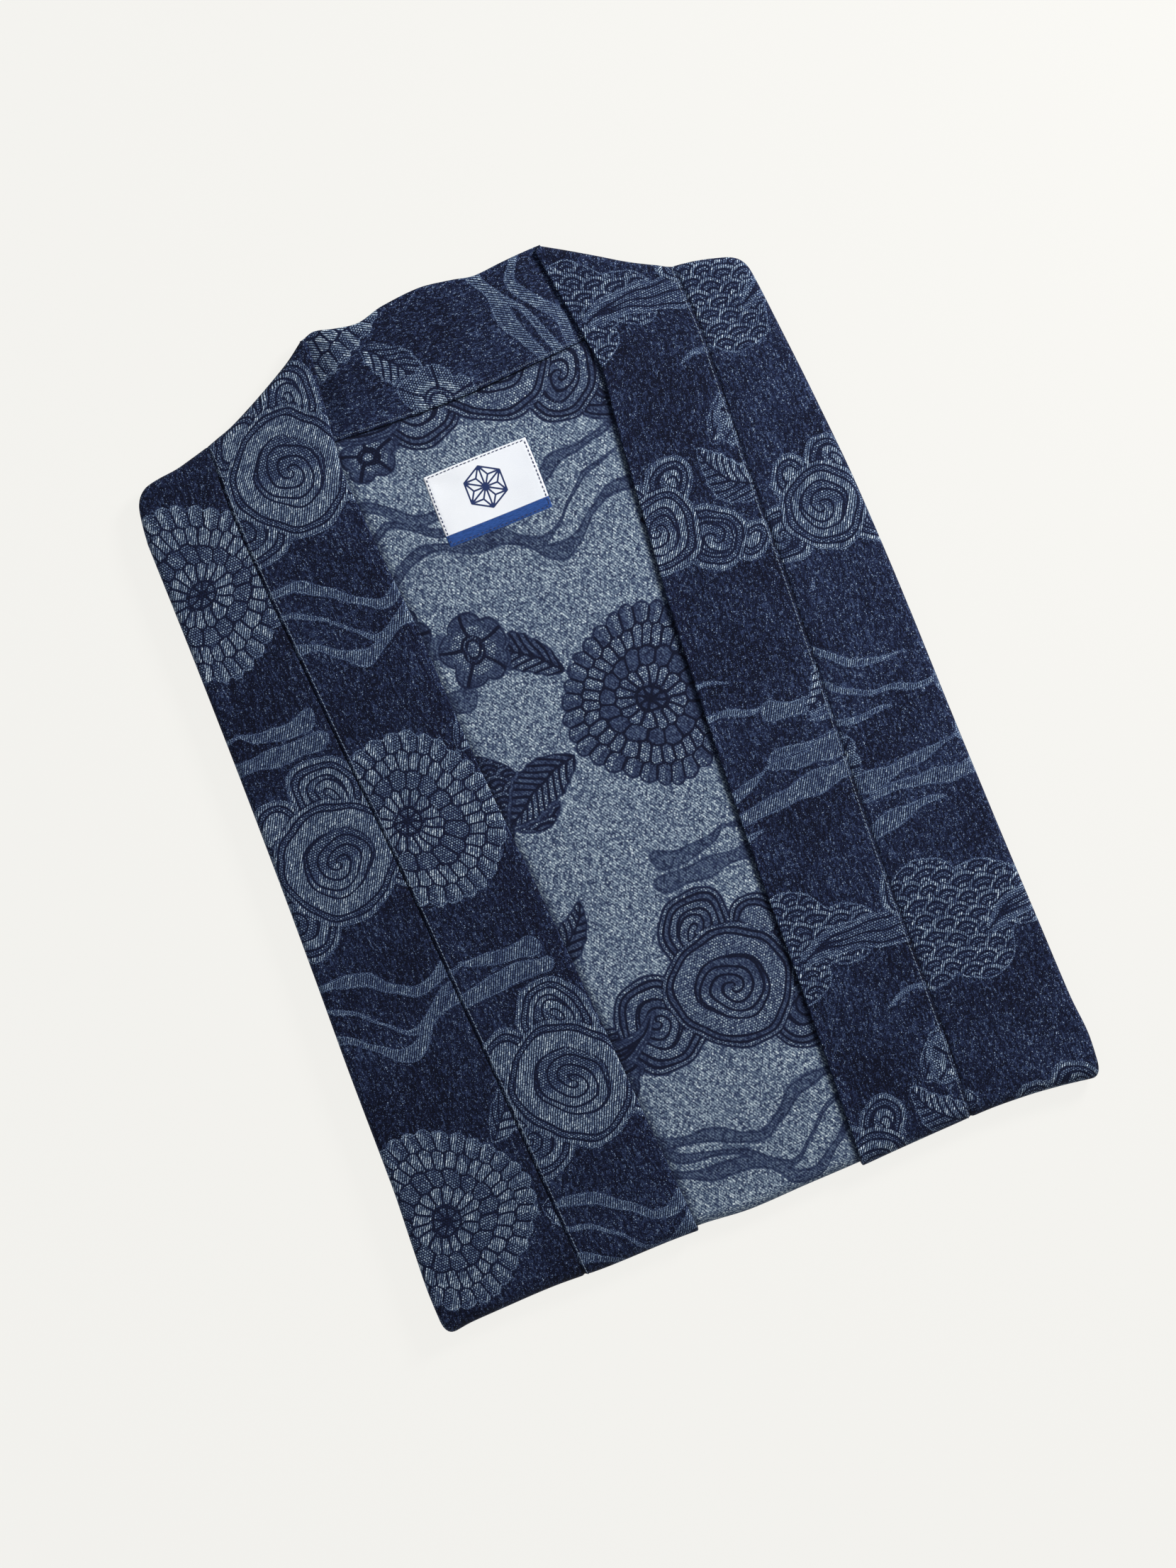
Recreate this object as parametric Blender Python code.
"""Kimono jacket of indigo jacquard denim, folded flat for the shelf.

The garment lies face up with its fronts open. Its sides and sleeves are folded
behind, and then its lower part is turned up behind, so that the lower edge is a
fold and the hem lies underneath. Each panel is a wall of cloth. A panel is laid
out on the unfolded top of the package: x to the right, y up towards the collar,
running on below the bottom fold, and a depth under the top of the package. The
function place() then folds it: first down round the side or shoulder edge, and
then the whole package round the bottom fold.

Metres in the solids, millimetres in the tables. +Z is up, and z = 0 is the
surface that the jacket lies on.
"""

import math

import bmesh
import bpy
import numpy as np

MM = 0.001

# ---- cloth and folds, mm -------------------------------------------------
CLOTH = 1.2          # one layer of the denim
BAND = 2.4           # the collar band is the denim folded double
PATCH = 0.8          # woven neck label
GAP = 0.3            # between pieces at a seam
SIDE_R = 4.0         # outside radius of the folds along sides and shoulders
TAIL = 4.5           # how far a folded side runs back in under itself
FOLD_R = 8.5         # outside radius of the bottom fold
TOP_Z = 2 * FOLD_R   # height of the package over the turned-up part
UPPER_Z = 15.6       # height above the turned-up part's hem, where it is thinner
NECK_Z = 12.8        # height at the back of the neck
HEM_Y = -76.0        # where the turned-up hem lies, underneath
BAND_PROUD = 0.6     # the band stands this much over the fronts
BACK_DEPTH = 2.2     # the back lies this far under the fronts' level
BACK_DEPTH_TURNED = 2.7
NECK_DEPTH = 1.0     # the neck band's middle
NECK_DEPTH_END = 3.0  # its ends, tucked under the front bands
UNDERLAP = 12.0      # how far back and neck band run in under the front bands
LABEL = dict(left=-33.8, right=27.4, low=132.2, high=174.0, tilt=0.006)
CENTRE = (0.0, 0.06)  # plan point that becomes the origin: the middle of the outline


def table(columns, *rows):
    """Named columns of a short table, as arrays."""
    values = np.array(rows, float)
    return {name: values[:, i] for i, name in enumerate(columns.split())}


# the package's sides. Rows below -262 lie on the turned-up part
SIDES = table("y left right",
              (-480, -187.0, 187.0),
              (-330, -189.0, 189.5),
              (-292, -192.5, 192.5),
              (-262, -196.2, 195.6),
              (-248, -196.6, 196.6),
              (-225, -195.6, 194.8),
              (-185, -193.6, 193.8),
              (-120, -192.7, 192.3),
              (-60, -191.2, 191.4),
              (5, -189.9, 190.8),
              (80, -189.1, 188.8),
              (135, -189.0, 185.1),
              (195, -189.4, 179.8))

# the shoulders, from the side to the neck point
SHOULDER_LEFT = table("x y",
                      (-189.4, 195.0), (-188.4, 205.5), (-186.6, 216.0),
                      (-183.6, 221.8), (-178.2, 225.8), (-170.5, 227.5),
                      (-160.0, 228.7), (-149.6, 231.2), (-139.6, 233.9),
                      (-125.0, 238.4), (-110.0, 245.2), (-90.0, 255.8),
                      (-79.6, 262.0), (-69.0, 269.9))
SHOULDER_RIGHT = table("x y",
                       (179.8, 195.0), (178.7, 206.0), (177.4, 216.0),
                       (175.2, 221.2), (170.4, 225.3), (162.0, 228.2),
                       (150.4, 231.0), (142.6, 232.2), (137.6, 232.8),
                       (129.0, 236.9), (115.0, 244.4), (100.4, 253.7),
                       (85.0, 263.4), (73.0, 270.7))

# where the bottom fold's outer face comes to, across the package
FOLD_EDGE = table("x y",
                  (-190, -273.0), (-180, -271.7), (-165, -271.0),
                  (-130, -269.9), (-98, -270.8), (-60, -270.2),
                  (-42, -270.6), (-12, -272.7), (20, -271.5),
                  (50, -270.6), (72, -269.4), (105, -267.9),
                  (132, -267.0), (152, -267.7), (170, -269.3),
                  (190, -272.1))

# the front seams and the free, folded edges of the collar band
BANDS = table("y seam_left edge_left edge_right seam_right",
              (-480, -105.5, -41.0, 47.5, 112.0),
              (-265, -112.3, -45.6, 54.6, 119.6),
              (-205, -115.2, -49.3, 57.1, 122.4),
              (-145, -118.0, -53.0, 59.1, 123.8),
              (-105, -120.3, -55.8, 59.9, 125.2),
              (-65, -122.4, -58.4, 61.4, 127.2),
              (-5, -126.0, -63.2, 64.3, 130.8),
              (55, -130.9, -66.4, 67.9, 133.8),
              (95, -133.6, -67.9, 71.6, 135.0),
              (155, -137.6, -72.6, 76.8, 138.0),
              (205, -139.5, -74.9, 82.0, 140.0),
              (225, -139.7, -74.5, 80.2, 139.4),
              (245, -139.7, -73.2, 77.6, 138.4),
              (262, -139.7, -71.4, 75.0, 137.0),
              (272, -139.7, -68.4, 72.6, 136.5))

# the back neck seam, and the free edge of the neck band above it
NECK = table("x seam edge",
             (-90, 210.6, 268.0),
             (-69, 209.8, 269.9),
             (-61, 209.4, 272.1),
             (-50, 208.7, 269.4),
             (-37, 208.1, 267.3),
             (-20, 207.5, 271.2),
             (2, 207.4, 273.1),
             (20, 208.1, 270.8),
             (34, 209.0, 268.2),
             (50, 209.9, 269.5),
             (73, 211.7, 270.9),
             (95, 213.5, 269.0))

# the largest soft rises and hollows of the top, each a long low swelling
FOLDS = table("x y turn half_length half_width height",
              (-158, 60, 84, 120, 16, -0.5),
              (-96, -40, 86, 150, 22, 0.5),
              (-158, -150, 70, 70, 24, 0.5),
              (150, 120, 97, 90, 16, -0.5),
              (100, 30, 94, 130, 20, 0.4),
              (152, -120, 98, 100, 22, 0.5),
              (0, 60, 88, 120, 40, -0.4),
              (-34, -120, 80, 80, 22, 0.4))


def through(xs, ys):
    """A smooth function through a table's column, with no overshoot between rows."""
    slope = np.diff(ys) / np.diff(xs)
    both = slope[:-1] * slope[1:]
    inner = np.where(both > 0, 2 * both / np.where(both > 0, slope[:-1] + slope[1:], 1), 0)
    m = np.concatenate([slope[:1], inner, slope[-1:]])

    def at(x):
        x = np.clip(np.asarray(x, float), xs[0], xs[-1])
        i = np.clip(np.searchsorted(xs, x, side="right") - 1, 0, len(xs) - 2)
        h = xs[i + 1] - xs[i]
        t = (x - xs[i]) / h
        return ((1 + 2 * t) * (1 - t) ** 2 * ys[i] + t * (1 - t) ** 2 * h * m[i]
                + t * t * (3 - 2 * t) * ys[i + 1] - t * t * (1 - t) * h * m[i + 1])

    return at


def eased(x, low, high):
    t = np.clip((np.asarray(x, float) - low) / (high - low), 0, 1)
    return t * t * (3 - 2 * t)


side_x = {"left": through(SIDES["y"], SIDES["left"]),
          "right": through(SIDES["y"], SIDES["right"])}
line_x = {name: through(BANDS["y"], BANDS[name])
          for name in ("seam_left", "edge_left", "edge_right", "seam_right")}
fold_edge_y = through(FOLD_EDGE["x"], FOLD_EDGE["y"])
neck_seam_y = through(NECK["x"], NECK["seam"])
neck_edge_y = through(NECK["x"], NECK["edge"])


def axis_y(x):
    """y of the bottom fold's axis at x."""
    return fold_edge_y(x) + FOLD_R


def top_z(x, y):
    """Height of the top of the package."""
    z = TOP_Z - (TOP_Z - UPPER_Z) * eased(y, -150, -20) - (UPPER_Z - NECK_Z) * eased(y, 150, 262)
    swell = np.zeros_like(z)
    for k in range(len(FOLDS["x"])):
        a = math.radians(FOLDS["turn"][k])
        dx, dy = x - FOLDS["x"][k], y - FOLDS["y"][k]
        u = (dx * math.cos(a) + dy * math.sin(a)) / FOLDS["half_length"][k]
        v = (-dx * math.sin(a) + dy * math.cos(a)) / FOLDS["half_width"][k]
        swell += FOLDS["height"][k] * np.exp(-u * u - v * v)
    return z + swell * eased(y, -255, -225)


def place(q, depth, n=None, over=0.0):
    """Folds points of a panel. q is the point in plan, depth how far under the top of
    the package it lies, and over how far past the fold line at q it runs, along n."""
    q = np.asarray(q, float)
    depth = np.broadcast_to(np.asarray(depth, float), q.shape[:-1]).copy()
    over = np.broadcast_to(np.asarray(over, float), q.shape[:-1])
    plan = q.copy()
    if n is not None:
        turn = np.clip(over / SIDE_R, 0, math.pi)
        out = (SIDE_R - depth) * np.sin(turn) - np.clip(over - math.pi * SIDE_R, 0, None)
        out = np.where(over > 0, out, np.minimum(over, 0))
        plan = q + n * out[..., None]
        depth = np.where(over > 0, SIDE_R - (SIDE_R - depth) * np.cos(turn), depth)
    x, y = plan[..., 0], plan[..., 1]
    axis = axis_y(q[..., 0])
    past = (axis - y) / FOLD_R
    turn = np.clip(past, 0, math.pi)
    height = top_z(q[..., 0], q[..., 1])
    flat = past <= 0
    beyond = np.clip(past - math.pi, 0, None) * FOLD_R
    fy = np.where(flat, y, axis - (FOLD_R - depth) * np.sin(turn) + beyond)
    fz = np.where(flat, height - depth, FOLD_R + (FOLD_R - depth) * np.cos(turn))
    return np.stack([x - CENTRE[0], fy - CENTRE[1], fz], -1)


# ---- rows that every panel shares ------------------------------------------
# underneath, from the hem to the fold; round the fold; up the top
TURNED_ROWS = (HEM_Y, -130.0, -190.0, -235.0)
FOLD_TURNS = (180, 150, 120, 90, 60, 30, 0)
TOP_ROWS = (-246.0, -222.0, -185.0, -140.0, -95.0, -50.0, -5.0, 45.0, 95.0, 140.0, 170.0, 195.0)


def row_y(row, x):
    """Unfolded y of a shared row at x. A row is (kind, number)."""
    kind, value = row
    if kind == "turned":
        return 2 * axis_y(x) - math.pi * FOLD_R - value
    if kind == "fold":
        return axis_y(x) - FOLD_R * math.radians(value)
    return np.full_like(np.asarray(x, float), value)


ROWS = ([("turned", y) for y in TURNED_ROWS] + [("fold", t) for t in FOLD_TURNS]
        + [("top", y) for y in TOP_ROWS])


def nominal_y(row):
    return float(row_y(row, np.array(-60.0)))


def path_of(points):
    """Function of distance along a smooth line through points, and its length at each."""
    points = np.asarray(points, float)
    s = np.concatenate([[0], np.cumsum(np.hypot(*np.diff(points, axis=0).T))])
    fx, fy = through(s, points[:, 0]), through(s, points[:, 1])
    return (lambda t: np.stack([fx(t), fy(t)], -1)), s


def edge_stations(side):
    """Fold-line points q and outward directions n: one for each shared row up the side,
    then round the shoulder to the front seam, then along the band to the neck point."""
    sign = -1 if side == "left" else 1
    q, n = [], []
    for row in ROWS:
        y = nominal_y(row)
        x = float(side_x[side](y))
        slope = float(side_x[side](y + 0.5) - side_x[side](y - 0.5))
        out = np.array([sign, -sign * slope])
        out /= np.hypot(*out)
        at = np.array([x, y]) - out * SIDE_R
        at[1] = float(row_y(row, at[0])) + (0.0 if row[0] != "top" else at[1] - y)
        q.append(at)
        n.append(out)
    shoulder = SHOULDER_LEFT if side == "left" else SHOULDER_RIGHT
    line, s = path_of(np.stack([shoulder["x"], shoulder["y"]], 1))
    seam = np.interp(abs(float(line_x["seam_" + side](233.0))), np.abs(shoulder["x"])[::-1], s[::-1])
    for t in list(np.linspace(0, seam, CORNER_STEPS + 1)[1:]) + list(np.linspace(seam, s[-1], BAND_STEPS + 1)[1:]):
        a, b = line(max(t - 0.8, 0)), line(min(t + 0.8, s[-1]))
        along = (b - a) / np.hypot(*(b - a))
        out = np.array([sign * along[1], -sign * along[0]])
        q.append(line(t) - out * SIDE_R)
        n.append(out)
    return np.array(q), np.array(n)


CORNER_STEPS = 8     # stations round the shoulder corner to the front seam
BAND_STEPS = 5       # stations along the top of the front band
SIDE_TURNS = tuple(SIDE_R * math.radians(a) for a in (36, 72, 108, 144, 180))

EDGE = {side: edge_stations(side) for side in ("left", "right")}
SEAM_TOP = len(ROWS) + CORNER_STEPS - 1   # station at the top of the front seam


def proud(y):
    """How far the band stands over the fronts: nothing on the turned-up part or at the shoulder."""
    return BAND_PROUD * eased(y, -262, -235) * (1 - eased(y, 196, 228))


def back_depth(y):
    return BACK_DEPTH_TURNED + (BACK_DEPTH - BACK_DEPTH_TURNED) * eased(y, -262, -235)


# ---- solids -----------------------------------------------------------------
def wall(name, top, bottom, start=(), end=()):
    """A closed wall from two grids of points, [along][across]. start and end are further
    lines of points that round its first and last edge across, top to bottom."""
    rows, cols = top.shape[:2]
    mesh = bmesh.new()
    ring_of = []
    for i in range(rows):
        ring = [top[i, j] for j in range(cols)] + [line[i] for line in end]
        ring += [bottom[i, j] for j in reversed(range(cols))] + [line[i] for line in reversed(start)]
        ring_of.append([mesh.verts.new(p * MM) for p in ring])
    count = len(ring_of[0])
    for a, b in zip(ring_of, ring_of[1:]):
        for k in range(count):
            m = (k + 1) % count
            mesh.faces.new((a[k], a[m], b[m], b[k]))
    for ring in (ring_of[0], ring_of[-1]):
        low = [ring[cols + len(end) + cols - 1 - j] for j in range(cols)]
        for j in range(cols - 1):
            mesh.faces.new((ring[j], ring[j + 1], low[j + 1], low[j]))
        if len(end):
            mesh.faces.new([ring[cols - 1]] + [ring[cols + k] for k in range(len(end))] + [low[-1]])
        if len(start):
            mesh.faces.new([low[0]] + ring[count - len(start):] + [ring[0]])
    return finish(name, mesh)


def finish(name, mesh):
    bmesh.ops.recalc_face_normals(mesh, faces=mesh.faces)
    data = bpy.data.meshes.new(name)
    mesh.to_mesh(data)
    mesh.free()
    data.shade_smooth()
    data.set_sharp_from_angle(angle=math.radians(40))
    obj = bpy.data.objects.new(name, data)
    bpy.context.scene.collection.objects.link(obj)
    obj.parent = jacket
    data.materials.append(material(name))
    return obj


COLOURS = table("piece red green blue roughness",
                (0, 0.013, 0.022, 0.058, 0.86),
                (1, 0.210, 0.280, 0.370, 0.86),
                (2, 0.800, 0.830, 0.880, 0.70))
FACE, REVERSE, WOVEN = 0, 1, 2
LOOK = {"back": REVERSE, "label": WOVEN}


def material(name):
    k = LOOK.get(name, FACE)
    made = bpy.data.materials.new(name)
    made.use_nodes = True
    shader = made.node_tree.nodes["Principled BSDF"]
    colour = (COLOURS["red"][k], COLOURS["green"][k], COLOURS["blue"][k], 1.0)
    shader.inputs["Base Color"].default_value = colour
    shader.inputs["Roughness"].default_value = COLOURS["roughness"][k]
    shader.inputs["Metallic"].default_value = 0.0
    made.diffuse_color = colour
    return made


def front(side):
    """A front panel: from its seam with the band across to the side, down round the side
    and shoulder folds, and under the bottom fold to the hem."""
    sign = -1 if side == "left" else 1
    q_edge, n_edge = (a[:SEAM_TOP + 1] for a in EDGE[side])
    seam_top = q_edge[-1]
    seam = []
    for k in range(SEAM_TOP + 1):
        if k < len(ROWS):
            x = float(line_x["seam_" + side](nominal_y(ROWS[k])))
            y = float(row_y(ROWS[k], np.array(x)))
        else:
            share = (k - len(ROWS) + 1) / CORNER_STEPS
            y = 195 + (seam_top[1] - 195) * share
            x = float(line_x["seam_" + side](y))
            x += (seam_top[0] - float(line_x["seam_" + side](seam_top[1]))) * share
        seam.append((x, y))
    seam = np.array(seam)
    half_gap = np.array([sign * GAP / 2, 0.0])
    seam, q_in = seam + half_gap, q_edge.copy()
    q_in[-1] += half_gap
    lines = []      # (q, n, over) from the tail under the edge to the seam
    for over in [math.pi * SIDE_R + TAIL, *reversed(SIDE_TURNS)]:
        lines.append((q_in, n_edge, over))
    for share in (0.0, 0.3, 0.65, 1.0):
        q = q_in + (seam - q_in) * share
        for k, row in enumerate(ROWS):
            if row[0] != "top":
                q[k, 1] = float(row_y(row, q[k, 0]))
        lines.append((q, None, 0.0))
    layers = []
    for depth in (0.0, CLOTH):
        layers.append(np.stack([place(q, depth, n, over) for q, n, over in lines], 1))
    return wall("front_" + side, *layers)


def band_front(side):
    """The collar band down a front: two layers, folded along its free edge."""
    sign = -1 if side == "left" else 1
    q_edge, n_edge = (a[SEAM_TOP:] for a in EDGE[side])
    shares = np.linspace(0, 1, BAND_STEPS + 1)
    keep = [0, 2, 4, 5] if BAND_STEPS == 5 else range(BAND_STEPS + 1)
    # distance of each column from the seam, as a share of the band's width
    width = np.abs(q_edge[:, 0] - q_edge[0, 0])
    share = (width / width[-1])[keep]
    q_top, n_top = q_edge[keep].copy(), n_edge[keep]
    q_top[0] -= (sign * GAP / 2, 0.0)
    rows_q, rows_n, rows_over = [], [], []
    for row in ROWS:
        y0 = nominal_y(row)
        a = float(line_x["seam_" + side](y0)) - sign * GAP / 2
        b = float(line_x["edge_" + side](y0))
        x = a + (b - a) * share
        rows_q.append(np.stack([x, row_y(row, x)], -1))
    last = rows_q[-1]
    for step in (0.33, 0.67, 1.0):
        rows_q.append(last + (q_top - last) * step)
    rows_n = [None] * len(rows_q)
    rows_over = [0.0] * len(rows_q)
    for over in [*SIDE_TURNS, math.pi * SIDE_R + TAIL]:
        rows_q.append(q_top)
        rows_n.append(n_top)
        rows_over.append(over)
    top, bottom, fold = [], [], []
    for q, n, over in zip(rows_q, rows_n, rows_over):
        lift = proud(q[:, 1])
        top.append(place(q, -lift, n, over))
        bottom.append(place(q, BAND - lift, n, over))
        # the folded edge bulges a little past its line
        rim = q[-1:] - np.array([[sign * 1.0, 0.0]])
        fold.append(place(rim, BAND / 2 - lift[-1:], None if n is None else n[-1:], over)[0])
    return wall("collar_" + side, np.array(top), np.array(bottom), end=[np.array(fold)])


def back_panel():
    """The back, reverse side up, from the neck seam to the hem. Only the stretch between
    the bands shows, so it ends a little way in under each band."""
    top, bottom = [], []
    shares = np.linspace(0, 1, 8)
    for row in [*ROWS, None]:
        y0 = 195.0 if row is None else nominal_y(row)
        a = float(line_x["edge_left"](y0)) - UNDERLAP
        b = float(line_x["edge_right"](y0)) + UNDERLAP
        x = a + (b - a) * shares
        y = neck_seam_y(x) - GAP / 2 if row is None else row_y(row, x)
        q = np.stack([x, y], -1)
        top.append(place(q, back_depth(y)))
        bottom.append(place(q, back_depth(y) + CLOTH))
    return wall("back", np.array(top), np.array(bottom))


def neck_band():
    """The band round the back of the neck, its inner half up, from the neck seam to its
    free folded edge. Its ends run in under the front bands."""
    low, high = neck_ends(0.0), neck_ends(1.0)
    top, bottom, rim_low, rim_high = [], [], [], []
    for share in np.linspace(0, 1, 15):
        u = np.linspace(0, 1, 5)
        left, right = neck_ends(u)
        x = left + (right - left) * share
        seam, edge = neck_seam_y(x) + GAP / 2, neck_edge_y(x) - BAND * 0.35
        y = seam + (edge - seam) * u
        q = np.stack([x, y], -1)
        depth = neck_depth(x, y)
        top.append(place(q, depth))
        bottom.append(place(q, depth + BAND))
        rim = np.array([[x[-1], neck_edge_y(x[-1])]])
        rim_high.append(place(rim, depth[-1:] + BAND / 2)[0])
    return wall("collar_neck", np.array(top), np.array(bottom), end=[np.array(rim_high)])


def neck_ends(u):
    """x of the neck band's two ends at share u of its height. They lean in towards the
    neck points, staying under the front bands."""
    y = 210 + 62 * np.asarray(u, float)
    tucked = (UNDERLAP - 3) - UNDERLAP * eased(y, 246, 262)
    return line_x["edge_left"](y) - tucked, line_x["edge_right"](y) + tucked


def neck_depth(x, y):
    inside = np.minimum(x - line_x["edge_left"](y), line_x["edge_right"](y) - x)
    return NECK_DEPTH_END + (NECK_DEPTH - NECK_DEPTH_END) * eased(inside, 4.5, 19)


def label():
    """The woven patch, on the back's own surface."""
    xs = np.linspace(LABEL["left"], LABEL["right"], 6)
    ys = np.linspace(LABEL["low"], LABEL["high"], 4)
    x, y = np.meshgrid(xs, ys, indexing="xy")
    q = np.stack([x, y + LABEL["tilt"] * (x - xs[0])], -1)
    under = back_depth(q[..., 1]) - GAP
    return wall("label", place(q, under - PATCH), place(q, under))


def hidden_columns(left_x, right_x, y, turned=False):
    """Columns across the package for the hidden layers: x, and how deep what lies on
    them there reaches."""
    s = {name: float(line_x[name](y)) for name in line_x}
    under_front = CLOTH + 0.5
    under_band = BAND + 0.4
    under_back = (BACK_DEPTH_TURNED if turned else float(back_depth(y))) + CLOTH + 0.4
    if y > 200:
        under_back = NECK_DEPTH_END + BAND + 0.4
    wanted = [(s["seam_left"] - 2.2, under_front), (s["seam_left"] - 0.8, under_band),
              (s["edge_left"] - UNDERLAP - 2.4, under_band), (s["edge_left"] - UNDERLAP - 1.0, under_back),
              (1.0, under_back), (3.0, under_back), (5.0, under_back),
              (s["edge_right"] + UNDERLAP + 1.0, under_back), (s["edge_right"] + UNDERLAP + 2.4, under_band),
              (s["seam_right"] + 0.8, under_band), (s["seam_right"] + 2.2, under_front)]
    last = len(wanted) - 1
    xs = [min(max(x, left_x + 1.0 + 0.6 * k), right_x - 1.0 - 0.6 * (last - k))
          for k, (x, _) in enumerate(wanted)]
    return np.array(xs), np.array([depth for _, depth in wanted])


INNER = -(TAIL + 1.2)   # the hidden solid stops this far in from the fold line, behind the tail
ARC = (0, 36, 72, 108, 144, 180)
LOBES = ((0.4, 1.0), (2.3, 0.86), (2.5, 0.68), (1.3, 0.52), (2.7, 0.36), (2.3, 0.12), (0.6, 0.0))
PLAIN = (0, .06, .13, .2, .27, .335, .36, .64, .665, .73, .8, .87, .93, .97, 1)


def side_profile(h, turned, cloth):
    """The hidden solid's edge, as (out past the fold line, z): inside the folded side, in
    behind its tail, and out again to the layers below it."""
    tongue = SIDE_R - cloth - 0.4
    upper = [(tongue * math.sin(math.radians(a)), h - SIDE_R + tongue * math.cos(math.radians(a)))
             for a in ARC]
    upper.append((INNER, h - SIDE_R - tongue))
    if turned:
        lower = [(INNER, SIDE_R + tongue)]
        lower += [(tongue * math.sin(math.radians(a)), SIDE_R - tongue * math.cos(math.radians(a)))
                  for a in (180, 144, 108, 72, 36, 18, 0)]
    else:
        low = h - 2 * SIDE_R - 0.5
        lower = [(INNER, low)] + [(out, low * share) for out, share in LOBES]
    return upper, lower


def turned_y(y, x):
    """Unfolded y of the turned-up part that lies under y."""
    return 2 * axis_y(x) - math.pi * FOLD_R - y


def hidden_ring(left, right, turned, cloth=CLOTH):
    """One section. left and right are the fold-line point and outward direction there."""
    (lx, ly), (rx, ry) = left[0], right[0]
    y_in = [p[1] + n[1] * INNER for p, n in (left, right)]
    columns, depths = hidden_columns(lx, rx, (ly + ry) / 2)
    depths = np.maximum(depths, cloth + 0.4)
    ys = y_in[0] + (y_in[1] - y_in[0]) * (columns - lx) / (rx - lx)
    top = [(x, y, float(top_z(x, y)) - d) for x, y, d in zip(columns, ys, depths)]
    under = dict(left=0.0, right=0.0)
    if turned:
        below = float(turned_y(ly, -60.0))
        for side, x in (("left", lx + SIDE_R * -1), ("right", rx + SIDE_R)):
            under[side] = float(side_x[side](below)) - x
        columns, depths = hidden_columns(lx + under["left"], rx + under["right"], below, True)
        low = [(x, y, d) for x, y, d in zip(columns, ys, depths)]
    else:
        middle = len(columns) // 2
        low = [(x, y, 1.2 if k == middle and y < 185 else 0.0) for k, (x, y) in enumerate(zip(columns, ys))]
    edges = {}
    for side, (p, n) in (("left", left), ("right", right)):
        upper, lower = side_profile(float(top_z(p[0], p[1])), turned, cloth)
        upper[-1] = (INNER - abs(under[side]), upper[-1][1])
        edges[side] = [(p[0] + n[0] * o, p[1] + n[1] * o, z) for o, z in upper]
        edges[side] += [(p[0] + n[0] * o + under[side], p[1] + n[1] * o, z) for o, z in lower]
    return top + edges["right"] + low[::-1] + edges["left"][::-1]


def hidden_end(turn, y=None):
    """One section in or near the bottom fold, where only the package's middle is filled."""
    lx = float(side_x["left"](-262.0)) + SIDE_R - INNER + 4.0
    rx = float(side_x["right"](-262.0)) - SIDE_R + INNER - 4.0
    columns, depths = hidden_columns(lx, rx, -262.0, True)
    spare = 0.1 if y is not None else 1.3
    first = CLOTH + 0.5
    xs = np.concatenate([[lx], columns, [rx]])
    ds = np.concatenate([[first], depths, [first]]) + spare
    a = math.radians(turn)
    r = FOLD_R - ds
    ys = axis_y(xs) - r * math.sin(a) if y is None else np.full_like(xs, y)
    top = list(zip(xs, ys, FOLD_R + r * math.cos(a)))
    low = list(zip(xs, ys, FOLD_R - r * math.cos(a)))

    def between(p, q):
        return [tuple(np.array(p) + (np.array(q) - np.array(p)) * share) for share in PLAIN]

    return top[1:-1] + between(top[-1], low[-1]) + low[1:-1][::-1] + between(top[0], low[0])[::-1]


def hidden_solid():
    """Sleeves, side strips and the rest of the back, folded away: one solid that fills the
    package, round inside the folded sides, and layered where its own edges show."""
    rings = [hidden_end(turn) for turn in (75, 50, 25, 0)] + [hidden_end(0, -257.0)]
    for y, turned in ((-252.0, True), (-246.0, True), (-222.0, True), (-185.0, True), (-140.0, True),
                      (-95.0, True), (HEM_Y + 0.4, True), (HEM_Y + 1.6, False), (-50.0, False),
                      (-5.0, False), (45.0, False), (95.0, False), (140.0, False), (170.0, False),
                      (195.0, False)):
        ends = [((float(side_x[side](y)) - sign * SIDE_R, y), (sign, 0.0))
                for side, sign in (("left", -1), ("right", 1))]
        rings.append(hidden_ring(*ends, turned))
    for k in range(len(ROWS), len(EDGE["left"][0]) - 2):
        ends = [(EDGE[side][0][k], EDGE[side][1][k]) for side in ("left", "right")]
        rings.append(hidden_ring(*ends, False, BAND if k >= SEAM_TOP - 1 else CLOTH))
    mesh = bmesh.new()
    made = [[mesh.verts.new(((x - CENTRE[0]) * MM, (y - CENTRE[1]) * MM, z * MM)) for x, y, z in ring]
            for ring in rings]
    count, profile = len(made[0]), len(PLAIN)
    across = (count - 2 * profile) // 2
    for a, b in zip(made, made[1:]):
        for k in range(count):
            m = (k + 1) % count
            mesh.faces.new((a[k], a[m], b[m], b[k]))
    for ring in (made[0], made[-1]):
        lows = ring[across + profile:2 * across + profile][::-1]
        for j in range(across - 1):
            mesh.faces.new((ring[j], ring[j + 1], lows[j + 1], lows[j]))
        mesh.faces.new([ring[across - 1]] + ring[across:across + profile] + [lows[-1]])
        mesh.faces.new([lows[0]] + ring[2 * across + profile:] + [ring[0]])
    return finish("folded_layers", mesh)


for old in list(bpy.data.objects):
    bpy.data.objects.remove(old)
bpy.context.scene.unit_settings.system = "METRIC"
jacket = bpy.data.objects.new("jacket", None)
bpy.context.scene.collection.objects.link(jacket)

back_panel()
front("left")
front("right")
band_front("left")
band_front("right")
neck_band()
label()
hidden_solid()
